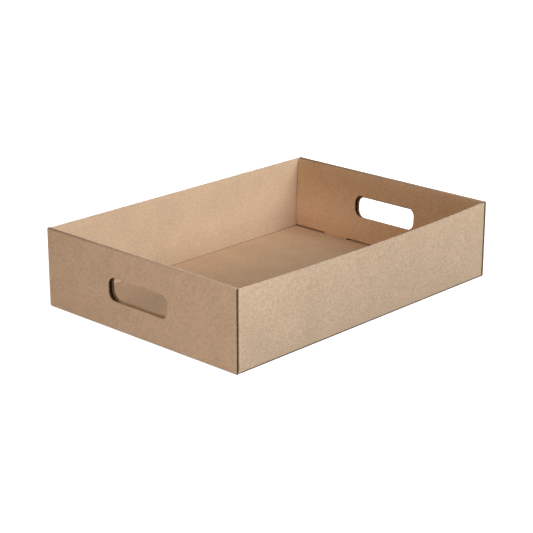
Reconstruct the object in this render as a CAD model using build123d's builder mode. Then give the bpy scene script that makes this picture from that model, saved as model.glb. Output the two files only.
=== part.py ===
from build123d import *
import os

os.makedirs("parts", exist_ok=True)

# Outside size of the folded tray, its height taken at the rolled ends
tray_length = 440.0
tray_width = 310.0
tray_height = 98.0

# Corrugated board and the inside radius of its folds
board = 2.2
corner_fold_radius = 0.3
base_fold_radius = 0.6
end_corner_radius = 1.8

# Long walls, a little lower than the rolled ends
wall_drop = 1.2
front_wall_bow = 8.0

# Double end walls, tight at the rolled top and pushed apart below it by the corner flaps
roll_gap = 0.6
panel_lean = 5.0
panel_bulge = 3.7
panel_bulge_height = 60.0
panel_edge_inset = 0.6
panel_side_clearance = 0.6
near_panel_lift = 0.6
far_panel_lift = 2.2

# Locking tabs and their slots in the base
tab_width = 39.0
tab_centre = 81.0
tab_end_height = 0.4
slot_clearance = 0.35
slot_width = 5.4
slot_inner_room = 6.0
slot_outer_room = 1.6

# Corner flaps tucked inside the end walls, with the gap that each end leaves at its corners
near_corner_gap = 2.4
far_corner_gap = 0.4
flap_length = 84.0
flap_taper = 7.0
flap_foot = 1.2
flap_height = 48.0
fold_top_clearance = 0.3

# Hand holes, the inner ones wider and set a little off the outer ones
hole_width = 97.0
hole_height = 28.8
hole_centre_height = 49.0
hole_corner = 10.5
inner_hole_growth = 0.6
near_hole_shift = -0.6
far_hole_shift = 3.4

# Overrun of the cuts
cut_overrun = 5.0

half_length = tray_length / 2
half_width = tray_width / 2
wall_height = tray_height - wall_drop
corner_outside = corner_fold_radius + board
base_outside = base_fold_radius + board
roll_radius = board + roll_gap / 2
roll_spring = tray_height - roll_radius
roll_crown_x = half_length - roll_radius
panel_half_width = half_width - panel_edge_inset
inner_half_width = half_width - board - panel_side_clearance
side_strip = half_width - inner_half_width
fold_top = roll_spring - fold_top_clearance
flap_low = board + flap_foot
flap_high = flap_low + flap_height
panel_top_x = half_length - 2 * roll_radius
base_corner_y = half_width - base_outside
base_corner_x = half_length - base_outside
panel_foot_x = panel_top_x - panel_lean
panel_bulge_x = panel_top_x - panel_bulge
base_reach = panel_foot_x - tab_width
inner_cut = 2 * roll_radius + panel_lean
slot_middle_x = panel_foot_x - slot_clearance + slot_width / 2
slot_length = tab_width + slot_inner_room + slot_outer_room
slot_centre = tab_centre + (slot_outer_room - slot_inner_room) / 2
near_wall_end = half_length - board - near_corner_gap - corner_outside
far_wall_end = half_length - board - far_corner_gap - corner_outside
wall_middle_x = (far_wall_end - near_wall_end) / 2
ends = (
    (1, far_panel_lift, far_hole_shift, far_wall_end),
    (-1, near_panel_lift, near_hole_shift, near_wall_end),
)

with BuildPart() as tray:
    for end, panel_lift, hole_shift, wall_end in ends:
        # Double end wall: base fold, outer panel, rolled top and bulging inner panel
        panel_foot = board + panel_lift
        with BuildSketch(Plane((0, 0, 0), x_dir=(end, 0, 0), z_dir=(0, -end, 0))):
            with BuildLine():
                Line((base_reach, 0), (base_corner_x, 0))
                CenterArc((base_corner_x, base_outside), base_outside, -90, 90)
                Line((half_length, base_outside), (half_length, roll_spring))
                CenterArc((roll_crown_x, roll_spring), roll_radius, 0, 180)
                ThreePointArc(
                    (panel_top_x, roll_spring),
                    (panel_bulge_x, panel_bulge_height),
                    (panel_foot_x, panel_foot),
                )
                Line((panel_foot_x, panel_foot), (panel_foot_x + board, panel_foot))
                ThreePointArc(
                    (panel_foot_x + board, panel_foot),
                    (panel_bulge_x + board, panel_bulge_height),
                    (panel_top_x + board, roll_spring),
                )
                CenterArc((roll_crown_x, roll_spring), roll_gap / 2, 180, -180)
                Line((half_length - board, roll_spring), (half_length - board, base_outside))
                CenterArc((base_corner_x, base_outside), base_fold_radius, 0, -90)
                Line((base_corner_x, board), (base_reach, board))
                Line((base_reach, board), (base_reach, 0))
            make_face()
        extrude(amount=panel_half_width, both=True)

        # Inner half of the roll and inner panel, cut back to pass between the long walls
        with BuildSketch(Plane.XY.offset((board + panel_foot) / 2)):
            with Locations(
                (end * (roll_crown_x - inner_cut / 2), inner_half_width + side_strip / 2),
                (end * (roll_crown_x - inner_cut / 2), -inner_half_width - side_strip / 2),
            ):
                Rectangle(inner_cut, side_strip)
        extrude(amount=tray_height, mode=Mode.SUBTRACT)

    # Lower corners of the end folds, rounded like the long folds they meet
    fillet(tray.edges().filter_by(Axis.X).group_by(Axis.Z)[0], radius=end_corner_radius)

    # Base, its two long folds and the back wall
    with BuildSketch(Plane.YZ.offset(-near_wall_end)):
        with BuildLine():
            Line((-base_corner_y, 0), (base_corner_y, 0))
            CenterArc((base_corner_y, base_outside), base_outside, -90, 90)
            Line((half_width, base_outside), (half_width, wall_height))
            Line((half_width, wall_height), (half_width - board, wall_height))
            Line((half_width - board, wall_height), (half_width - board, base_outside))
            CenterArc((base_corner_y, base_outside), base_fold_radius, 0, -90)
            Line((base_corner_y, board), (-base_corner_y, board))
            CenterArc((-base_corner_y, base_outside), base_fold_radius, -90, -90)
            Line((board - half_width, base_outside), (-half_width, base_outside))
            CenterArc((-base_corner_y, base_outside), base_outside, 180, 90)
        make_face()
    extrude(amount=near_wall_end + far_wall_end)

    # Front wall, straight at its fold and bowed outwards along its top edge
    with BuildSketch(Plane.XY.offset(base_outside)):
        with BuildLine():
            Line((-near_wall_end, -half_width), (far_wall_end, -half_width))
            Line((far_wall_end, -half_width), (far_wall_end, board - half_width))
            Line((far_wall_end, board - half_width), (-near_wall_end, board - half_width))
            Line((-near_wall_end, board - half_width), (-near_wall_end, -half_width))
        make_face()
    with BuildSketch(Plane.XY.offset(wall_height)):
        with BuildLine():
            ThreePointArc(
                (-near_wall_end, -half_width),
                (wall_middle_x, -half_width - front_wall_bow),
                (far_wall_end, -half_width),
            )
            Line((far_wall_end, -half_width), (far_wall_end, board - half_width))
            ThreePointArc(
                (far_wall_end, board - half_width),
                (wall_middle_x, board - half_width - front_wall_bow),
                (-near_wall_end, board - half_width),
            )
            Line((-near_wall_end, board - half_width), (-near_wall_end, -half_width))
        make_face()
    loft(ruled=True)

    for end, panel_lift, hole_shift, wall_end in ends:
        # Slots in the base and the locking tabs that stand in them
        panel_foot = board + panel_lift
        with BuildSketch(Plane.XY):
            with Locations((end * slot_middle_x, slot_centre), (end * slot_middle_x, -slot_centre)):
                Rectangle(slot_width, slot_length)
        extrude(amount=board, mode=Mode.SUBTRACT)
        for side in (1, -1):
            with BuildSketch(Plane((0, side * tab_centre, 0), x_dir=(end, 0, 0), z_dir=(0, -end, 0))):
                with BuildLine():
                    Line((panel_foot_x, panel_foot), (panel_foot_x, tab_end_height))
                    Line((panel_foot_x, tab_end_height), (panel_foot_x + board, tab_end_height))
                    Line((panel_foot_x + board, tab_end_height), (panel_foot_x + board, panel_foot))
                    Line((panel_foot_x + board, panel_foot), (panel_foot_x, panel_foot))
                make_face()
            extrude(amount=tab_width / 2, both=True)

        # Hand hole through the outer panel, and the wider one through the inner panel
        with BuildSketch(
            Plane((end * roll_crown_x, 0, hole_centre_height), x_dir=(0, end, 0), z_dir=(end, 0, 0))
        ):
            RectangleRounded(hole_width, hole_height, hole_corner)
        extrude(amount=board + cut_overrun, mode=Mode.SUBTRACT)
        with BuildSketch(
            Plane(
                (end * roll_crown_x, 0, hole_centre_height + hole_shift),
                x_dir=(0, end, 0),
                z_dir=(-end, 0, 0),
            )
        ):
            RectangleRounded(hole_width + 2 * inner_hole_growth, hole_height, hole_corner)
        extrude(amount=inner_cut + cut_overrun, mode=Mode.SUBTRACT)

        for side in (1, -1):
            # Corner fold at the end of a long wall
            with BuildSketch(
                Plane(
                    (end * wall_end, side * half_width, flap_low),
                    x_dir=(end, 0, 0),
                    z_dir=(0, 0, end * side),
                )
            ):
                with BuildLine():
                    CenterArc((0, -corner_outside), corner_outside, 0, 90)
                    Line((0, 0), (0, -board))
                    CenterArc((0, -corner_outside), corner_fold_radius, 0, 90)
                    Line((corner_fold_radius, -corner_outside), (corner_outside, -corner_outside))
                make_face()
            extrude(amount=end * side * (fold_top - flap_low))

            # Tuck flap standing between the two layers of the end wall
            with BuildSketch(
                Plane(
                    (end * (wall_end + corner_outside), side * (half_width - corner_outside), 0),
                    x_dir=(0, -side, 0),
                    z_dir=(-side, 0, 0),
                )
            ):
                with BuildLine():
                    Line((0, flap_low), (flap_length, flap_low + flap_taper))
                    Line((flap_length, flap_low + flap_taper), (flap_length, flap_high - flap_taper))
                    Line((flap_length, flap_high - flap_taper), (0, flap_high))
                    Line((0, flap_high), (0, flap_low))
                make_face()
            extrude(amount=end * side * board)

tray.part.label = "folded_tray"
export_step(tray.part, "parts/folded_tray.step")
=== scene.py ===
# %% [markdown]
# # A corrugated tray folded from one sheet
# The object is a kraft-brown tray, cut from one flat sheet of corrugated board and folded up with
# no glue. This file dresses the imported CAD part: it builds the board as it really is, with two flat
# papers and a wavy paper between them, gives it a paper finish, and sets a soft studio around it.

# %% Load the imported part
import math
import bpy
import numpy as np
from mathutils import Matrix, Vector


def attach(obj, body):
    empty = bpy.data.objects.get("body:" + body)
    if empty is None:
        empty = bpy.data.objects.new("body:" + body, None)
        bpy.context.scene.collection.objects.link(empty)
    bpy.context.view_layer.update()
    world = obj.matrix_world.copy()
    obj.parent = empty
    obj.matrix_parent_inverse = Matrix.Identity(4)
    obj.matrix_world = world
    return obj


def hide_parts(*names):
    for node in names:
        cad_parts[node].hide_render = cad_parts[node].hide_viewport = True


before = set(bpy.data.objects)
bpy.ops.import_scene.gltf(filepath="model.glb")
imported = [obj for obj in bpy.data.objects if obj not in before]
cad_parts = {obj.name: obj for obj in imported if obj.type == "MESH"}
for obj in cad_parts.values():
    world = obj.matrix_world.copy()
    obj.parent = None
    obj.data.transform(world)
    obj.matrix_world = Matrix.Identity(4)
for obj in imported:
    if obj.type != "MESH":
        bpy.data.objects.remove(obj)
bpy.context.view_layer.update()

# %% [markdown]
# ## Sizes of the board and of the folded tray
# Everything below is in millimetres and becomes metres only when a mesh is written. The numbers repeat
# the CAD part's own sizes, so the dressed tray stands where the solid does. Two differ a little. The near
# corner folds stand 1.2 mm nearer to the end wall, so that the dark line at that corner is as thin as in
# the photo, and the front wall bows a hair less, to stay inside the CAD box. The path of the folded sheet
# is followed along its middle, half a board inside the outer face.

# %% Sizes
MM = 1000.0
LENGTH, WIDTH, HEIGHT = 440.0, 310.0, 98.0
BOARD, LINER, FLUTE_PAPER = 2.2, 0.3, 0.25
HALF_BOARD = BOARD / 2
FLUTE_PITCH = 6.4
FLUTE_SWING = HALF_BOARD - LINER - FLUTE_PAPER / 2

WALL_TOP, WALL_BOW = 96.8, 7.95
BASE_FOLD, CORNER_FOLD, ROLL_OUT = 2.8, 2.5, 2.5
SPRING = HEIGHT - ROLL_OUT
OUTER_HALF, INNER_HALF = 154.4, 152.2
NEAR_WALL, FAR_WALL = 214.1, 214.9
PANEL_LEAN, PANEL_BULGE, BULGE_Z = 5.0, 3.7, 60.0
NEAR_FOOT, FAR_FOOT = 2.8, 4.4
TAB_INNER, TAB_OUTER, TAB_END = 61.5, 100.5, 0.4
SLOT_INNER, SLOT_OUTER, SLOT_ROOM, SLOT_WIDTH = 55.5, 102.1, 0.35, 5.4
FLAP_LENGTH, FLAP_TAPER, FLAP_LOW, FLAP_HIGH, RING_TOP = 84.0, 7.0, 3.4, 51.4, 95.2
HOLE_HALF, HOLE_HIGH, HOLE_Z, HOLE_CORNER = 48.5, 28.8, 49.0, 10.5
INNER_HOLE_HALF, NEAR_HOLE_Z, FAR_HOLE_Z = 49.1, 48.4, 52.4

BASE_CORNER_X, BASE_CORNER_Y = LENGTH / 2 - BASE_FOLD, WIDTH / 2 - BASE_FOLD
FOLD_MID = BASE_FOLD - HALF_BOARD
ROLL_MID = ROLL_OUT - HALF_BOARD
CORNER_MID = CORNER_FOLD - HALF_BOARD
PANEL_TOP_X = LENGTH / 2 - 2 * ROLL_OUT
SLOT_LOW = PANEL_TOP_X - PANEL_LEAN - SLOT_ROOM
SLOT_HIGH = SLOT_LOW + SLOT_WIDTH
print("inside of the tray", LENGTH - 4 * ROLL_OUT - 2 * PANEL_LEAN, "by", WIDTH - 2 * BOARD, "mm")


def by_end(travel, near, far):
    """The value of the end that a row belongs to: the near end has negative travel."""
    return np.where(travel < 0, near, far)

# %% [markdown]
# ## Lengths along the flat sheet
# Lay the blank flat and run a finger along it from the middle of the base to one end: across the base,
# up the outer panel, over the roll and down the inner panel to its tabs. Each fold comes after a known
# length. The inner panel isn't flat, because the tucked flaps push it out, so its length is that of an
# arc through its top, its bulge and its foot.

# %% Travelled lengths
def arc_through(first, middle, last):
    """Centre and radius of the circle through three points."""
    (ax, ay), (bx, by), (cx, cy) = first, middle, last
    turn = 2 * (ax * (by - cy) + bx * (cy - ay) + cx * (ay - by))
    a, b, c = ax**2 + ay**2, bx**2 + by**2, cx**2 + cy**2
    x = (a * (by - cy) + b * (cy - ay) + c * (ay - by)) / turn
    y = (a * (cx - bx) + b * (ax - cx) + c * (bx - ax)) / turn
    return x, y, math.hypot(ax - x, ay - y)


def panel_arc(foot):
    """Circle of an inner panel's middle, from the roll over the bulge to its foot."""
    mid_x = PANEL_TOP_X + HALF_BOARD
    return arc_through((mid_x, SPRING), (mid_x - PANEL_BULGE, BULGE_Z), (mid_x - PANEL_LEAN, foot))


def panel_travel(arc, z):
    """Travelled length down an inner panel to a height: the radius times the angle turned."""
    return arc[2] * (math.asin((SPRING - arc[1]) / arc[2]) - np.arcsin((z - arc[1]) / arc[2]))


NEAR_ARC, FAR_ARC = panel_arc(NEAR_FOOT), panel_arc(FAR_FOOT)
S_FOLD = BASE_CORNER_X
S_PANEL = S_FOLD + FOLD_MID * math.pi / 2
S_ROLL = S_PANEL + SPRING - BASE_FOLD
S_CROWN = S_ROLL + ROLL_MID * math.pi / 2
S_INNER = S_ROLL + ROLL_MID * math.pi
S_NEAR_FOOT = S_INNER + panel_travel(NEAR_ARC, NEAR_FOOT)
S_FAR_FOOT = S_INNER + panel_travel(FAR_ARC, FAR_FOOT)
S_NEAR_TAB = S_NEAR_FOOT + NEAR_FOOT - TAB_END
S_FAR_TAB = S_FAR_FOOT + FAR_FOOT - TAB_END
print("flat length of the blank", round(S_NEAR_FOOT + S_FAR_FOOT, 1), "mm")
print("flat length with the tabs", round(S_NEAR_TAB + S_FAR_TAB, 1), "mm")

# %% [markdown]
# ## The long strip: base, ends and rolls in one run
# Folded, the same finger draws one line in the plane of length and height. A cloth-like bend or a row of
# boxes could imitate it, but a line with a known length is better: every point of the flat sheet then has
# a place on the folded tray, and patterns that belong to the paper can follow it round the folds.

# %% The folded line
def end_line(travel):
    """Place and outward direction on the folded line, from the travelled length along the sheet.

    Six runs follow each other: straight base, a quarter circle up, straight outer panel, a half circle
    over the top, the inner panel's wide arc, and the upright tab. Each run is an exact straight or arc.
    """
    a = np.abs(travel)
    side = np.where(travel < 0, -1.0, 1.0)
    centre_x, centre_z, radius = (by_end(travel, n, f) for n, f in zip(NEAR_ARC, FAR_ARC))
    panel = by_end(travel, S_NEAR_FOOT, S_FAR_FOOT)
    starts = np.stack([0 * a, 0 * a + S_FOLD, 0 * a + S_PANEL, 0 * a + S_ROLL, 0 * a + S_INNER, panel])
    run = (a[None, :] > starts[1:]).sum(axis=0)
    d = a - np.take_along_axis(starts, run[None, :], axis=0)[0]
    fold = d / FOLD_MID - np.pi / 2
    roll = d / ROLL_MID
    turn = np.arcsin((SPRING - centre_z) / radius) - d / radius
    foot = by_end(travel, NEAR_FOOT, FAR_FOOT)
    zero, one = np.zeros_like(a), np.ones_like(a)
    x = np.choose(run, [
        d, BASE_CORNER_X + FOLD_MID * np.cos(fold), one * (LENGTH / 2 - HALF_BOARD),
        LENGTH / 2 - ROLL_OUT + ROLL_MID * np.cos(roll), centre_x - radius * np.cos(turn),
        one * (PANEL_TOP_X + HALF_BOARD - PANEL_LEAN)])
    z = np.choose(run, [
        one * HALF_BOARD, BASE_FOLD + FOLD_MID * np.sin(fold), BASE_FOLD + d,
        SPRING + ROLL_MID * np.sin(roll), centre_z + radius * np.sin(turn), foot - d])
    out_x = np.choose(run, [zero, np.cos(fold), one, np.cos(roll), -np.cos(turn), -one])
    out_z = np.choose(run, [-one, np.sin(fold), zero, np.sin(roll), np.sin(turn), zero])
    return side * x, z, side * out_x, out_z


crown_height = end_line(np.array([S_CROWN]))[1][0] + HALF_BOARD
print("top of the roll", round(float(crown_height), 2), "mm")

# %% [markdown]
# ## Columns across the strip
# Across the width the strip is cut where something happens: at its edges, at both sides of each tab or
# slot, and at both ends of the hand hole. Those places shift from row to row, so they are written as
# functions of the travelled length, and the grid's columns are shared out between them. Faces inside the
# hand holes and slots, and between the tabs, are simply not made, which leaves clean die-cut edges.

# %% Hand holes
HOLE_STEPS = 9
HOLE_MARGIN = 1e-5


def hole_place(travel):
    """Middle height and half width of the hand hole in the panel that a row belongs to."""
    inner_panel = np.abs(travel) > S_INNER
    shifted = by_end(travel, NEAR_HOLE_Z, FAR_HOLE_Z)
    return np.where(inner_panel, shifted, HOLE_Z), np.where(inner_panel, INNER_HOLE_HALF, HOLE_HALF)


def in_hole(travel, margin):
    """Whether a row crosses the hand hole of its panel."""
    a = np.abs(travel)
    z = end_line(travel)[1]
    on_panel = ((a > S_PANEL) & (a < S_ROLL)) | (a > S_INNER)
    return on_panel & (np.abs(z - hole_place(travel)[0]) <= HOLE_HIGH / 2 + margin)


def hole_half(travel):
    """Half width of the hand hole in a row: a straight middle with quarter circles at its corners."""
    centre, half = hole_place(travel)
    away = np.abs(end_line(travel)[1] - centre)
    rise = np.clip(away - (HOLE_HIGH / 2 - HOLE_CORNER), 0.0, HOLE_CORNER)
    return half - HOLE_CORNER + np.sqrt(np.maximum(HOLE_CORNER**2 - rise**2, 0.0))


def hole_rows(centre):
    """Heights at which a hole is sampled: even steps of angle round its corners."""
    angle = np.linspace(0.0, np.pi / 2, HOLE_STEPS)
    rise = HOLE_HIGH / 2 - HOLE_CORNER + HOLE_CORNER * np.sin(angle)
    return np.concatenate([centre - rise[::-1], centre + rise])


print("hand holes", 2 * HOLE_HALF, "and", 2 * INNER_HOLE_HALF, "by", HOLE_HIGH, "mm")

# %% [markdown]
# ## Cuts and rows of the strip
# On the real blank a die cuts the outline, the slots and the tabs in one stroke. Here the strip's half
# width changes where the die steps in: at the relief beside the base fold, and on the crown of the roll,
# where the inner panel becomes narrow enough to pass between the long walls.

# %% Rows and columns of the strip
RELIEF, WIDEN = S_FOLD - 0.3, 0.6
NECK_START, NECK_END = S_CROWN - 0.2, S_CROWN + 0.8
HOLE_BLOCK, TAB_BLOCKS = 3, (1, 5)
FOLD_ROWS, ROLL_ROWS = 7, 13


def strip_half(travel):
    """Half width of the strip: base between its long folds, full outer panel, narrower inner panel."""
    a = np.abs(travel)
    widened = BASE_CORNER_Y + (OUTER_HALF - BASE_CORNER_Y) * np.clip((a - RELIEF) / WIDEN, 0.0, 1.0)
    return np.interp(a, [NECK_START, NECK_END], [0.0, 1.0]) * (INNER_HALF - OUTER_HALF) + widened


def strip_stops(travel):
    """The eight cut places across each row, from one edge of the strip to the other."""
    half_hole = np.where(in_hole(travel, HOLE_MARGIN), hole_half(travel), HOLE_HALF - HOLE_CORNER)
    on_base = np.abs(travel) < S_FOLD
    inner = np.where(on_base, SLOT_INNER, TAB_INNER)
    outer = np.where(on_base, SLOT_OUTER, TAB_OUTER)
    half = strip_half(travel)
    return np.stack([-half, -outer, -inner, -half_hole, half_hole, inner, outer, half], axis=1)


def strip_faces(middle_travel, block):
    """Which cells of the strip are board: all but the hand holes, the slots and the space beside tabs."""
    a = np.abs(middle_travel)[:, None]
    column = block[None, :]
    hole = in_hole(middle_travel, 0.0)[:, None] & (column == HOLE_BLOCK)
    tab_column = np.isin(column, TAB_BLOCKS)
    in_slot = (a > SLOT_LOW) & (a < SLOT_HIGH) & tab_column
    foot = by_end(middle_travel, S_NEAR_FOOT, S_FAR_FOOT)[:, None]
    return ~(hole | in_slot | ((a > foot) & ~tab_column))


def merged_rows(*groups, least=0.02):
    """Sorted rows from several lists, with repeats and near repeats taken out."""
    rows = np.unique(np.concatenate([np.atleast_1d(g) for g in groups]))
    return rows[np.concatenate([[True], np.diff(rows) > least])]


def end_marks(arc, wall, foot, tab, hole_z):
    """Travelled lengths on one end where the strip changes: cuts, folds, hole corners and tab end."""
    return np.concatenate([
        [0.0, SLOT_LOW, SLOT_HIGH, wall, RELIEF, RELIEF + WIDEN, NECK_START, NECK_END, foot, tab],
        S_PANEL + hole_rows(HOLE_Z) - BASE_FOLD, S_INNER + panel_travel(arc, hole_rows(hole_z)),
        np.linspace(S_FOLD, S_PANEL, FOLD_ROWS), np.linspace(S_ROLL, S_INNER, ROLL_ROWS)])


near_marks = end_marks(NEAR_ARC, NEAR_WALL, S_NEAR_FOOT, S_NEAR_TAB, NEAR_HOLE_Z)
far_marks = end_marks(FAR_ARC, FAR_WALL, S_FAR_FOOT, S_FAR_TAB, FAR_HOLE_Z)
print("marks along each half of the strip", near_marks.size)

# %% [markdown]
# ## The side bands: long walls with their corner flaps
# Each long wall runs into a corner flap at both ends. Seen from above, wall, fold and flap are one bent
# line, and the band is that line carried straight up. Its lower and upper edges change along the way:
# the wall reaches the base fold and the top edge, the flap is lower and tapers so that it slides behind
# the outer end panel. The front wall bows outwards towards its top edge, as the photo shows.

# %% The bent line of a side band
TURN_LENGTH = CORNER_MID * math.pi / 2
CORNER_LOW, CORNER_RUN, FLAP_RUN = 0.6, 0.5, 0.4
WALL_MIDDLE, WALL_HALF = (FAR_WALL - NEAR_WALL) / 2, (FAR_WALL + NEAR_WALL) / 2
NUDGE = 1e-6


def side_line(travel):
    """Plan of a band from its travelled length: straight wall, quarter circle, straight flap inwards."""
    a = np.abs(travel)
    side = np.where(travel < 0, -1.0, 1.0)
    wall = by_end(travel, NEAR_WALL, FAR_WALL)
    past = a - wall
    run = (past > NUDGE).astype(int) + (past > TURN_LENGTH + NUDGE)
    turn = np.pi / 2 - past / CORNER_MID
    centre_y = WIDTH / 2 - CORNER_FOLD
    zero, one = np.zeros_like(a), np.ones_like(a)
    x = np.choose(run, [a, wall + CORNER_MID * np.cos(turn), wall + CORNER_MID])
    y = np.choose(run, [
        one * (WIDTH / 2 - HALF_BOARD), centre_y + CORNER_MID * np.sin(turn),
        centre_y - (past - TURN_LENGTH)])
    out_x = np.choose(run, [zero, np.cos(turn), one])
    out_y = np.choose(run, [one, np.sin(turn), zero])
    return side * x, y, side * out_x, out_y


def side_edges(travel):
    """Lower and upper edge of a band along its travelled length."""
    past = np.abs(travel) - by_end(travel, NEAR_WALL, FAR_WALL)
    stops = [0.0, CORNER_RUN, TURN_LENGTH, TURN_LENGTH + FLAP_RUN, TURN_LENGTH + FLAP_LENGTH]
    low = np.interp(past, stops, [BASE_FOLD, CORNER_LOW, CORNER_LOW, FLAP_LOW, FLAP_LOW + FLAP_TAPER])
    high = np.interp(past, stops, [WALL_TOP, WALL_TOP, RING_TOP, FLAP_HIGH, FLAP_HIGH - FLAP_TAPER])
    return low, high


def wall_part(travel):
    """Whether a row lies between the two ends of the long walls."""
    return np.abs(travel) <= by_end(travel, NEAR_WALL, FAR_WALL) + NUDGE


def bow(x, z):
    """Outward bow of the front wall: a shallow parabola along it, growing evenly from fold to top."""
    along = np.clip(1.0 - ((x - WALL_MIDDLE) / WALL_HALF) ** 2, 0.0, 1.0)
    return WALL_BOW * along * np.clip((z - BASE_FOLD) / (WALL_TOP - BASE_FOLD), 0.0, 1.0)


print("long walls", NEAR_WALL + FAR_WALL, "mm between their corner folds")

# %% [markdown]
# ## From grids to meshes
# Every layer of the board is a set of grids: a strip, two side bands and the two long folds that join
# them. A grid needs only its points and a note of which cells are board. The flat-sheet coordinates go
# along as a UV map, so that the finish can know where the flutes run. Grids of a layer are joined and the
# points on shared edges are merged, so the layer is one sheet, as the paper is.

# %% Mesh helpers
MERGE_STEP = 0.004


def grid_faces(rows, columns, first, keep):
    """Corner numbers of the kept quads between neighbouring rows and columns, from a first point."""
    number = first + np.arange(rows * columns).reshape(rows, columns)
    quads = np.stack([number[:-1, :-1], number[1:, :-1], number[1:, 1:], number[:-1, 1:]], axis=-1)
    return quads[keep]


def sheet_mesh(name, grids, inside_out=False):
    """One mesh from several grids of points, each with its kept cells and flat-sheet coordinates."""
    points, faces, flat, first = [], [], [], 0
    for place, keep, sheet, turned in grids:
        rows, columns = place.shape[:2]
        quads = grid_faces(rows, columns, first, keep)
        faces.append(quads[:, ::-1] if turned != inside_out else quads)
        points.append(place.reshape(-1, 3))
        flat.append(sheet.reshape(-1, 2))
        first += rows * columns
    points, faces, flat = np.concatenate(points), np.concatenate(faces), np.concatenate(flat)
    used, numbers = np.unique(faces, return_inverse=True)
    points, flat, faces = points[used], flat[used], numbers.reshape(-1, 4)
    key = np.round(points / MERGE_STEP).astype(np.int64)
    _, chosen, merged = np.unique(key, axis=0, return_index=True, return_inverse=True)
    corner_flat = flat[faces.reshape(-1)]
    faces = merged.reshape(-1)[faces]
    mesh = bpy.data.meshes.new(name)
    mesh.vertices.add(len(chosen))
    mesh.vertices.foreach_set("co", (points[chosen] / MM).astype(np.float32).ravel())
    mesh.loops.add(faces.size)
    mesh.loops.foreach_set("vertex_index", faces.astype(np.int32).ravel())
    mesh.polygons.add(len(faces))
    mesh.polygons.foreach_set("loop_start", np.arange(0, faces.size, 4, dtype=np.int32))
    mesh.update(calc_edges=True)
    sheet_map = mesh.uv_layers.new(name="flat_sheet")
    sheet_map.data.foreach_set("uv", (corner_flat / MM).astype(np.float32).ravel())
    mesh.validate()
    mesh.shade_smooth()
    return mesh


def add_object(name, data):
    """A new object at the origin, unturned and unscaled, in the scene's collection."""
    piece = bpy.data.objects.new(name, data)
    bpy.context.collection.objects.link(piece)
    return piece

# %% [markdown]
# ## The grids of one layer
# A liner and the wavy paper have the same folds and differ only in how far they lie from the middle of
# the board. So each grid takes that offset as a function of the travelled length, and the same three
# grids serve for all the layers.

# %% Grid helpers
def shared_columns(counts):
    """Block number and share along the block of every column, for blocks cut into these counts."""
    block = np.concatenate([np.full(n, k) for k, n in enumerate(counts)] + [[len(counts) - 1]])
    share = np.concatenate([np.arange(n) / n for n in counts] + [[1.0]])
    return block.astype(int), share


def strip_grid(travel, counts, offset):
    """The long strip at an offset from its middle: the folded line moved along its outward direction."""
    x, z, out_x, out_z = end_line(travel)
    block, share = shared_columns(counts)
    stops = strip_stops(travel)
    y = stops[:, block] * (1 - share) + stops[:, np.minimum(block + 1, len(counts))] * share
    lift = offset(travel)[:, None]
    along = (x[:, None] + out_x[:, None] * lift) + 0 * y
    height = (z[:, None] + out_z[:, None] * lift) + 0 * y
    keep = strip_faces((travel[:-1] + travel[1:]) / 2, block[:-1])
    sheet = np.stack([travel[:, None] + 0 * y, y], axis=-1)
    return np.stack([along, y, height], axis=-1), keep, sheet, True


def band_grid(travel, columns, offset, front):
    """A side band at an offset: the bent plan line, moved outwards and carried from low to high edge."""
    x, y, out_x, out_y = side_line(travel)
    low, high = side_edges(travel)
    share = np.linspace(0.0, 1.0, columns)
    z = low[:, None] + (high - low)[:, None] * share
    lift = offset(travel)[:, None]
    across = y[:, None] + out_y[:, None] * lift
    along = x[:, None] + out_x[:, None] * lift + 0 * z
    if front:
        across = -(across + np.where(wall_part(travel)[:, None], bow(along, z), 0.0))
    keep = np.ones((len(travel) - 1, columns - 1), bool)
    flat_y = WIDTH / 2 + z if not front else -WIDTH / 2 - z
    sheet = np.stack([travel[:, None] + 0 * z, flat_y], axis=-1)
    return np.stack([along, across + 0 * z, z], axis=-1), keep, sheet, not front


def fold_grid(x, columns, offset, front):
    """The fold between base and long wall: a quarter circle about the fold's centre, along the length."""
    angle = np.linspace(-np.pi / 2, 0.0, columns)
    radius = FOLD_MID + offset(x)[:, None]
    y = BASE_CORNER_Y + radius * np.cos(angle)
    z = BASE_FOLD + radius * np.sin(angle)
    flat_y = BASE_CORNER_Y + FOLD_MID * (angle + np.pi / 2) + 0 * y
    sign = -1.0 if front else 1.0
    keep = np.ones((len(x) - 1, columns - 1), bool)
    sheet = np.stack([x[:, None] + 0 * y, sign * flat_y], axis=-1)
    return np.stack([x[:, None] + 0 * y, sign * y, z], axis=-1), keep, sheet, not front


def layer_grids(rows, wall_rows, counts, offset, band_columns, fold_columns):
    """All grids of one layer: the strip, and a side band and a long fold at the front and at the back."""
    grids = [strip_grid(rows, counts, offset)]
    for front in (True, False):
        grids.append(band_grid(wall_rows, band_columns, offset, front))
        grids.append(fold_grid(rows[wall_part(rows)], fold_columns, offset, front))
    return grids

# %% [markdown]
# ## The two liners
# The faces that we see are liners, plain papers a third of a millimetre thick. Each is the folded sheet
# moved half a board outwards or inwards, and Solidify gives it the paper's own thickness towards the
# middle of the board. Rows are close together only round folds and hole corners. Weighted normals keep
# the panels flat and the folds crisp, as creased board is.

# %% Liners
WALL_ROWS, TURN_ROWS, FLAP_ROWS = 21, 7, 8
PANEL_STEP, INNER_STEP = 8.0, 5.0
LINER_COUNTS = (4, 4, 4, 8, 4, 4, 4)


def both_ends(near, far):
    """Rows of the whole line: the near end's rows count backwards from the middle."""
    return np.unique(np.round(np.concatenate([-near, far]), 6))


def strip_rows(marks, wall, tab):
    """Rows of one end for a liner: its marks, and even steps on the flat stretches."""
    outer_steps = np.arange(S_PANEL, S_ROLL, PANEL_STEP)
    inner_steps = np.arange(S_INNER, tab, INNER_STEP)
    return merged_rows(marks, np.linspace(0.0, wall, WALL_ROWS), outer_steps, inner_steps)


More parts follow.
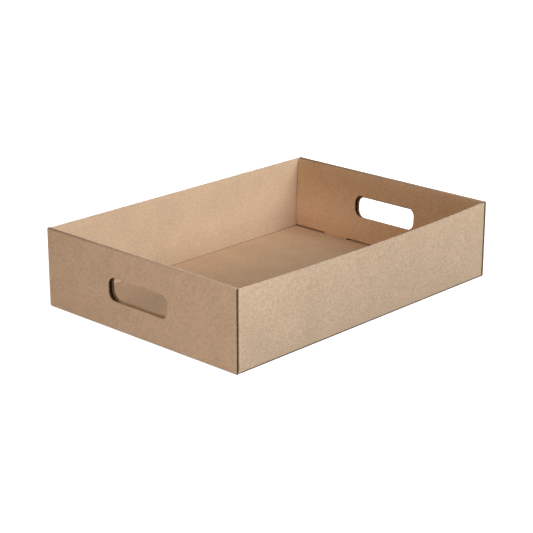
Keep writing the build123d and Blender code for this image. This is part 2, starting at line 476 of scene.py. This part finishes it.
def side_rows(wall):
    """Rows of one end of a side band: even steps on the wall, close ones round the corner."""
    return merged_rows(
        np.linspace(0.0, wall, WALL_ROWS), wall + np.linspace(0.0, TURN_LENGTH, TURN_ROWS),
        wall + TURN_LENGTH + np.linspace(0.0, FLAP_LENGTH, FLAP_ROWS),
        [wall + CORNER_RUN, wall + TURN_LENGTH + FLAP_RUN])


liner_rows = both_ends(
    strip_rows(near_marks, NEAR_WALL, S_NEAR_TAB), strip_rows(far_marks, FAR_WALL, S_FAR_TAB))
band_rows = both_ends(side_rows(NEAR_WALL), side_rows(FAR_WALL))


def liner(name, face):
    """One liner: strip, side bands and long folds, all at the same offset from the board's middle."""
    def offset(travel):
        return np.full_like(travel, face)
    grids = layer_grids(liner_rows, band_rows, LINER_COUNTS, offset, band_columns=9, fold_columns=6)
    return add_object(name, sheet_mesh(name, grids, inside_out=face < 0))


outer_liner = liner("outer_liner", HALF_BOARD)
inner_liner = liner("inner_liner", -HALF_BOARD)
for piece in (outer_liner, inner_liner):
    thick = piece.modifiers.new("paper", "SOLIDIFY")
    thick.thickness = LINER / MM
    thick.offset = -1.0
    thick.use_even_offset = True
    # The inner shell of each liner takes the second finish, whose dark brown is painted shade inside the
    # board.
    thick.material_offset = 1
    crisp = piece.modifiers.new("flat_panels", "WEIGHTED_NORMAL")
    crisp.mode = "FACE_AREA"
    crisp.weight = 100
    print(piece.name, len(piece.data.vertices), "points", len(piece.data.polygons), "faces")

# %% [markdown]
# ## The fluted paper
# Between the liners runs a wavy paper, which shows wherever the board is cut across its waves: along the
# tops of the long walls, on the upright edges of the end panels and at the ends of the hand holes. It is
# the same folded sheet once more, but its offset swings from liner to liner as a sine of the travelled
# length. The waves run straight across the blank, so only the rows have to be fine.

# %% Fluted paper
FLUTE_STEP, FLUTE_LEAST = FLUTE_PITCH / 10, 0.1
WALL_MARGIN = 0.3
FLUTE_COUNTS = (1, 1, 1, 1, 1, 1, 1)


def wave(travel):
    """Offset of the fluted paper: a sine of the travelled length, as tall as the gap between liners."""
    return FLUTE_SWING * np.cos(2 * np.pi * travel / FLUTE_PITCH)


def wave_rows(marks, wall, tab):
    """Rows of one end for the fluted paper, ten to a wave."""
    on_base = np.arange(0.0, wall - WALL_MARGIN, FLUTE_STEP)
    return merged_rows(on_base, marks, np.arange(S_FOLD, tab, FLUTE_STEP), least=FLUTE_LEAST)


def wave_side_rows(wall):
    """Rows of one end of a side band for the fluted paper."""
    past = TURN_LENGTH + FLAP_LENGTH
    return merged_rows(
        np.arange(0.0, wall - WALL_MARGIN, FLUTE_STEP), wall + np.arange(0.0, past, FLUTE_STEP),
        wall + np.array([CORNER_RUN, TURN_LENGTH, TURN_LENGTH + FLAP_RUN, past]), least=FLUTE_LEAST)


flute_rows = both_ends(
    wave_rows(near_marks, NEAR_WALL, S_NEAR_TAB), wave_rows(far_marks, FAR_WALL, S_FAR_TAB))
flute_band_rows = both_ends(wave_side_rows(NEAR_WALL), wave_side_rows(FAR_WALL))
flute_grids = layer_grids(flute_rows, flute_band_rows, FLUTE_COUNTS, wave, band_columns=2, fold_columns=4)
fluting = add_object("fluting", sheet_mesh("fluting", flute_grids))
thick = fluting.modifiers.new("paper", "SOLIDIFY")
thick.thickness = FLUTE_PAPER / MM
thick.offset = 0.0
print("fluting", len(fluting.data.vertices), "points", len(fluting.data.polygons), "faces")

# %% [markdown]
# ## Paper from nodes
# Kraft liner is unbleached brown paper: matt, with pale and dark fibres, a soft cloudiness where the pulp
# is thicker, and a faint washboard from the flutes behind it. Noise on Object coordinates gives the
# clouds and fibres at their real size. Whatever belongs to a place on the blank, such as the washboard or
# a crease, reads the flat-sheet map instead, because it has to follow the sheet round the folds.

# %% Paper nodes
PAPER_ROUGHNESS, PAPER_GLOSS = 0.65, 0.04
WASHBOARD_DEPTH, GRAIN_DEPTH, GRAIN_STRENGTH = 0.00006, 0.00008, 0.5


def add_node(tree, kind, inputs, **settings):
    """A node in a tree, its inputs linked to other nodes' outputs or set to plain values."""
    node = tree.nodes.new(kind)
    for key, value in settings.items():
        setattr(node, key, value)
    for key, value in inputs.items():
        if isinstance(value, bpy.types.NodeSocket):
            tree.links.new(value, node.inputs[key])
        else:
            node.inputs[key].default_value = value
    return node


class Paper:
    """A kraft paper whose tone is a level, one on average, times a brown: marks change the level."""

    def __init__(self, name, wall_grain=None):
        self.material = bpy.data.materials.new(name)
        self.material.use_nodes = True
        self.tree = self.material.node_tree
        self.place = add_node(self.tree, "ShaderNodeTexCoord", {}).outputs["Object"]
        sheet = add_node(self.tree, "ShaderNodeUVMap", {}, uv_map="flat_sheet")
        split = add_node(self.tree, "ShaderNodeSeparateXYZ", {"Vector": sheet.outputs["UV"]})
        self.travel, self.side = split.outputs["X"], split.outputs["Y"]
        self.along = self.sums("ABSOLUTE", self.travel)
        self.across = self.sums("ABSOLUTE", self.side)
        clouds = self.ramp(self.noise(28.0, 3.0, 0.5), 0.3, 0.7, 0.96, 1.04)
        mottle = self.ramp(self.noise(380.0, 4.0, 0.65), 0.3, 0.7, -0.16, 0.13)
        if wall_grain:
            mottle = self.times(mottle, self.rise(self.across, 155.0, 158.0, 1.0, wall_grain))
        fibre = self.ramp(self.noise(1500.0, 2.0, 0.6), 0.3, 0.75, 0.93, 1.06)
        self.level = self.times(clouds, self.sums("MULTIPLY_ADD", mottle, fibre, fibre))

    def sums(self, operation, *values):
        """One step of arithmetic."""
        node = add_node(self.tree, "ShaderNodeMath", dict(enumerate(values)), operation=operation)
        return node.outputs["Value"]

    def times(self, first, second):
        """The product of two values."""
        return self.sums("MULTIPLY", first, second)

    def noise(self, scale, detail, roughness):
        """Noise on Object coordinates, so that its grains keep their real size."""
        inputs = {"Vector": self.place, "Scale": scale, "Detail": detail, "Roughness": roughness}
        return add_node(self.tree, "ShaderNodeTexNoise", inputs).outputs["Fac"]

    def ramp(self, value, low, high, first, last):
        """A straight change from a first to a last value between two limits, level outside them."""
        inputs = {"Value": value, "From Min": low, "From Max": high, "To Min": first, "To Max": last}
        return add_node(self.tree, "ShaderNodeMapRange", inputs).outputs["Result"]

    def rise(self, value, low, high, first=0.0, last=1.0):
        """A ramp between two places on the flat sheet, in millimetres."""
        return self.ramp(value, low / MM, high / MM, first, last)

    def band(self, value, low, high, fade_in, fade_out):
        """One between two places on the flat sheet, zero outside, with soft ends inside the band."""
        return self.times(
            self.rise(value, low, low + fade_in), self.rise(value, high - fade_out, high, 1.0, 0.0))

    def shade(self, mark, amount):
        """Change the level where a mark is: times one plus the mark times an amount."""
        self.level = self.times(self.level, self.sums("MULTIPLY_ADD", mark, amount, 1.0))

    def finished(self, tone, washboard=None):
        """The material: level times tone as the colour, rough, with washboard and fibre as bump."""
        colour = add_node(
            self.tree, "ShaderNodeVectorMath", {0: tone, "Scale": self.level}, operation="SCALE")
        grain = {"Height": self.noise(900.0, 3.0, 0.6), "Distance": GRAIN_DEPTH, "Strength": GRAIN_STRENGTH}
        if washboard:
            ripple = self.sums("COSINE", self.times(self.travel, 2.0 * math.pi * MM / FLUTE_PITCH))
            boards = {"Height": ripple, "Distance": WASHBOARD_DEPTH, "Strength": washboard}
            grain["Normal"] = add_node(self.tree, "ShaderNodeBump", boards).outputs["Normal"]
        bump = add_node(self.tree, "ShaderNodeBump", grain)
        shader = self.tree.nodes["Principled BSDF"]
        shader.inputs["Roughness"].default_value = PAPER_ROUGHNESS
        shader.inputs["Specular IOR Level"].default_value = PAPER_GLOSS
        self.tree.links.new(colour.outputs["Vector"], shader.inputs["Base Color"])
        self.tree.links.new(bump.outputs["Normal"], shader.inputs["Normal"])
        return self.material

# %% [markdown]
# ## Painted shade on creases, rolls and gaps, painted light on cut edges
# The long folds, the rolled edges and the paper inside the double ends are darkened with painted shade,
# and the long walls carry a painted fall of light, darker towards the foot and lighter at the top. Lamps
# alone didn't give all of this as the photo has it, so part of the shade is painted in the finish, placed
# on the flat sheet in millimetres. Inside the board the paper is painted in deep shade, and it is painted
# pale, as lit, only along cut edges that the photo shows pale.

# %% Marks on the paper
CREASE_LOW, CREASE_SOFT, CREASE_END = 152.4, 0.5, 214.8
INNER_CREASE_TOP, OUTER_CREASE_TOP = 154.7, 155.8
SHEET_EDGE = WIDTH / 2 + WALL_TOP


def crease_shade(paper, shade_share, top):
    """Paint shade along the long folds: darken the line to a share of the paper's tone."""
    line = paper.band(paper.across, CREASE_LOW, top, CREASE_SOFT, CREASE_SOFT)
    ends = paper.rise(paper.along, CREASE_END, CREASE_END + 0.4, 1.0, 0.0)
    paper.shade(paper.times(line, ends), shade_share - 1.0)


def gap(paper, share):
    """Paint shade on the paper inside the double ends, beside the hand holes: darken it to a share of its
    tone.
    """
    inside = paper.rise(paper.along, S_PANEL, S_PANEL + 2.0)
    paper.shade(paper.times(inside, paper.rise(paper.across, 36.0, 44.0)), share - 1.0)


def painted_wall_fade(paper, foot, top):
    """Paint a fall of light on the long walls, from one share of the tone at the foot to another at the top:
    painted shade low, painted light high.
    """
    amount = paper.rise(paper.across, 157.0, 247.0, foot - 1.0, top - 1.0)
    paper.shade(paper.rise(paper.across, 154.9, 156.0), amount)


def roll(paper, depth):
    """Paint shade on the rolled edges: darken them by a fifth of the depth at the front and all of it at the
    back.
    """
    rim = paper.band(paper.along, S_ROLL, S_INNER, 1.0, 1.0)
    paper.shade(rim, paper.rise(paper.side, -155.0, 155.0, -0.2 * depth, -depth))


def lit_cut_edges(paper, tone, cut_tone):
    """A dark tone that turns to a pale one, painted light, on cut edges: both hand holes, the far end's sides
    and the wall tops.
    """
    near_lip = paper.times(
        paper.rise(paper.travel, -222.5, -221.5, 1.0, 0.0), paper.rise(paper.across, 38.0, 42.0, 1.0, 0.0))
    far_lip = paper.times(
        paper.rise(paper.travel, S_PANEL, S_PANEL + 1.0, 0.0, 0.5),
        paper.band(paper.across, 38.0, 56.0, 6.0, 4.0))
    far_side = paper.times(
        paper.rise(paper.travel, 219.0, 220.0, 0.0, 0.45), paper.band(paper.across, 153.0, 154.9, 0.8, 0.3))
    top = paper.rise(paper.across, SHEET_EDGE - 1.2, SHEET_EDGE - 0.4)
    lips = paper.sums("MAXIMUM", near_lip, far_lip)
    cut = paper.sums("MAXIMUM", lips, paper.sums("MAXIMUM", far_side, top))
    mix = add_node(paper.tree, "ShaderNodeMix", {0: cut, 4: tone, 5: cut_tone}, data_type="VECTOR")
    return mix.outputs[1]

# %% [markdown]
# ## The four finishes
# The outside and the inside of the sheet are two rolls of liner with nearly the same brown. The backs of
# the liners and the wavy paper are seen only at cut edges and in the dark corner gaps, and their dark brown
# is painted shade.

# %% Finishes
# A pale tone painted on cut edges, as painted light where they catch the lamps.
LIT_CUT_TONE = (0.62, 0.45, 0.32)

# The crease, roll and gap marks below are painted shade; the wall fade is painted shade at the foot and
# painted light at the top.
outer_paper = Paper("outer_kraft", wall_grain=1.2)
crease_shade(outer_paper, 0.3, OUTER_CREASE_TOP)
painted_wall_fade(outer_paper, 0.89, 1.03)
roll(outer_paper, 0.5)
outer_kraft = outer_paper.finished((0.570, 0.375, 0.238), washboard=0.3)

inner_paper = Paper("inner_kraft")
crease_shade(inner_paper, 0.25, INNER_CREASE_TOP)
gap(inner_paper, 0.4)
painted_wall_fade(inner_paper, 0.92, 1.02)
inner_kraft = inner_paper.finished((0.570, 0.374, 0.234), washboard=0.3)

# The backs of the liners and the wavy paper: dark brown painted as shade inside the board, painted pale as
# lit on cut edges.
hidden_paper = Paper("shaded_hidden_kraft")
shaded_hidden_kraft = hidden_paper.finished(lit_cut_edges(hidden_paper, (0.196, 0.081, 0.022), LIT_CUT_TONE))
flute_paper = Paper("shaded_flute_kraft")
shaded_flute_kraft = flute_paper.finished(lit_cut_edges(flute_paper, (0.224, 0.094, 0.026), LIT_CUT_TONE))

dressing = (
    (outer_liner, (outer_kraft, shaded_hidden_kraft)),
    (inner_liner, (inner_kraft, shaded_hidden_kraft)),
    (fluting, (shaded_flute_kraft,)),
)
for piece, finishes in dressing:
    for finish in finishes:
        piece.data.materials.append(finish)
    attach(piece, "root")
    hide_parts("folded_tray")
print("finishes", [m.name for m in bpy.data.materials])

# %% [markdown]
# ## Floor and world
# The tray stands on a pale floor in front of white. Floor and world show white to camera rays only and
# give the tray little light of their own, so the lamps decide how it is lit. The floor glows a little
# less close to the tray, which keeps the tray's shadow.

# %% Floor and world
WHITE = (1.0, 1.0, 1.0, 1.0)
FLOOR_HALF, FLOOR_DROP, FLOOR_TONE, FLOOR_ROUGHNESS = 6.0, 0.0002, 0.85, 0.9
FLOOR_GLOW, FLOOR_BOUNCE, WORLD_LIGHT = 0.85, 0.10, 0.05
GLOW_NEAR, GLOW_FAR = 0.28, 0.8


def white_floor():
    """A flat pale square under the tray, large enough to fill the view."""
    corners = np.array([[-1, -1, 0], [1, -1, 0], [1, 1, 0], [-1, 1, 0]]) * FLOOR_HALF - [0, 0, FLOOR_DROP]
    mesh = bpy.data.meshes.new("studio_floor")
    mesh.from_pydata(corners.tolist(), [], [(0, 1, 2, 3)])
    floor = add_object("studio_floor", mesh)
    material = bpy.data.materials.new("pale_floor")
    material.use_nodes = True
    tree = material.node_tree
    seen = add_node(tree, "ShaderNodeLightPath", {}).outputs["Is Camera Ray"]
    tones = {"Value": seen, "To Min": FLOOR_BOUNCE, "To Max": FLOOR_TONE}
    shade = add_node(tree, "ShaderNodeMapRange", tones)
    place = add_node(tree, "ShaderNodeTexCoord", {}).outputs["Object"]
    away = add_node(tree, "ShaderNodeVectorMath", {0: place}, operation="LENGTH").outputs["Value"]
    limits = {"Value": away, "From Min": GLOW_NEAR, "From Max": GLOW_FAR, "To Min": FLOOR_GLOW, "To Max": 1.0}
    white = add_node(tree, "ShaderNodeMapRange", limits).outputs["Result"]
    glow = add_node(tree, "ShaderNodeMath", {0: seen, 1: white}, operation="MULTIPLY")
    shader = tree.nodes["Principled BSDF"]
    shader.inputs["Roughness"].default_value = FLOOR_ROUGHNESS
    shader.inputs["Specular IOR Level"].default_value = 0.0
    shader.inputs["Emission Color"].default_value = WHITE
    tree.links.new(shade.outputs["Result"], shader.inputs["Base Color"])
    tree.links.new(glow.outputs["Value"], shader.inputs["Emission Strength"])
    mesh.materials.append(material)
    return floor


floor = white_floor()
scene = bpy.context.scene
scene.world = bpy.data.worlds.new("soft_white")
scene.world.use_nodes = True
sky = scene.world.node_tree
ray = add_node(sky, "ShaderNodeLightPath", {}).outputs["Is Camera Ray"]
strength = add_node(sky, "ShaderNodeMath", {0: ray, 1: WORLD_LIGHT}, operation="MAXIMUM")
sky.nodes["Background"].inputs["Color"].default_value = WHITE
sky.links.new(strength.outputs["Value"], sky.nodes["Background"].inputs["Strength"])
scene.view_settings.view_transform = "Standard"
print("floor", floor.name, "and world", scene.world.name)

# %% [markdown]
# ## Lamps
# A large soft key in front lights the front wall and the inside of the back wall, which are the lightest
# faces in the photo. A smaller, warm lamp on the left lights the near end, with a low strip close to it
# that lifts its foot. A low lamp behind gives the outside of the back wall and far end some light.

# %% Lamps
MIDDLE, NEAR_END = (0.0, 0.0, 0.05), (-0.22, 0.0, 0.06)


def soft_lamp(name, place, target, size, power, tint, height=None):
    """A square area lamp that looks at a point, or a wide one with a height of its own."""
    data = bpy.data.lights.new(name, "AREA")
    data.shape = "RECTANGLE"
    data.size = size
    data.size_y = height or size
    data.energy = power
    data.color = tint
    lamp = add_object(name, data)
    lamp.location = place
    lamp.rotation_euler = (Vector(target) - Vector(place)).to_track_quat("-Z", "Y").to_euler()


soft_lamp("key", (0.9, -5.6, 3.1), MIDDLE, 4.0, 545.0, (0.87, 1.0, 1.11))
soft_lamp("left", (-4.8, -0.6, 2.8), MIDDLE, 2.0, 113.0, (1.0, 0.83, 0.655))
soft_lamp("left_low", (-1.2, -0.3, 0.08), NEAR_END, 0.5, 4.4, (0.90, 1.03, 1.20), 0.1)
soft_lamp("back", (4.8, 4.6, 1.0), MIDDLE, 1.6, 370.0, (1.0, 0.98, 0.95))

# %% [markdown]
# ## Camera
# The camera was found from the tray's corners in the photo: it looks a little down along the tray's
# diagonal through a long lens. The lens was found in pixels of the photo, and is turned into millimetres
# by the width of the sensor.

# %% Camera
AZIMUTH, ELEVATION = math.radians(-46.639), math.radians(18.993)
TARGET = Vector((-0.07362, -0.05965, 0.06378))
DISTANCE = 1.8344
LENS_PIXELS, PHOTO_PIXELS, SENSOR = 1595.4, 533.0, 36.0
back = Vector((
    math.sin(AZIMUTH) * math.cos(ELEVATION), -math.cos(AZIMUTH) * math.cos(ELEVATION), math.sin(ELEVATION)))
camera_data = bpy.data.cameras.new("camera")
camera_data.lens = LENS_PIXELS / PHOTO_PIXELS * SENSOR
camera_data.sensor_width = SENSOR
camera = add_object("camera", camera_data)
camera.location = TARGET + back * DISTANCE
camera.rotation_euler = (-back).to_track_quat("-Z", "Y").to_euler()
scene.camera = camera
print("lens", round(camera_data.lens, 1), "mm")
